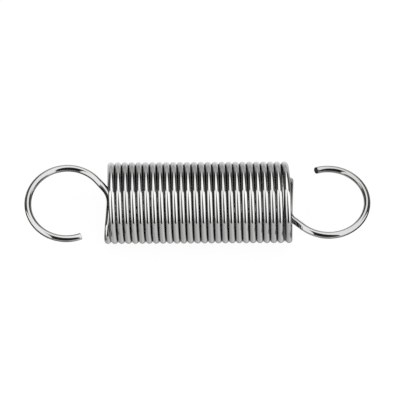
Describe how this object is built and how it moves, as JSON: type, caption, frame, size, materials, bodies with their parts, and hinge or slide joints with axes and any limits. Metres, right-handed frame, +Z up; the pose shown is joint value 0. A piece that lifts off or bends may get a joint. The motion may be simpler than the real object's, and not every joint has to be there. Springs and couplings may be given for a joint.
{
  "type": "extension spring",
  "caption": "close-wound extension spring of bright round steel wire, with an open full loop at each end lying in one plane",
  "frame": {"origin": "on the surface the spring lies on, under the middle of its overall length and width", "axes": "+X runs along the coil towards the loop with the slanted cut, +Y runs across the coil in the plane of the loops, away from the viewer, +Z is up"},
  "size_m": [0.0509, 0.0126, 0.012],
  "materials": {
    "wire": "bright nickel-plated drawn spring wire"
  },
  "bodies": {
    "root": {"spring": "wire"}
  },
  "joints": []
}
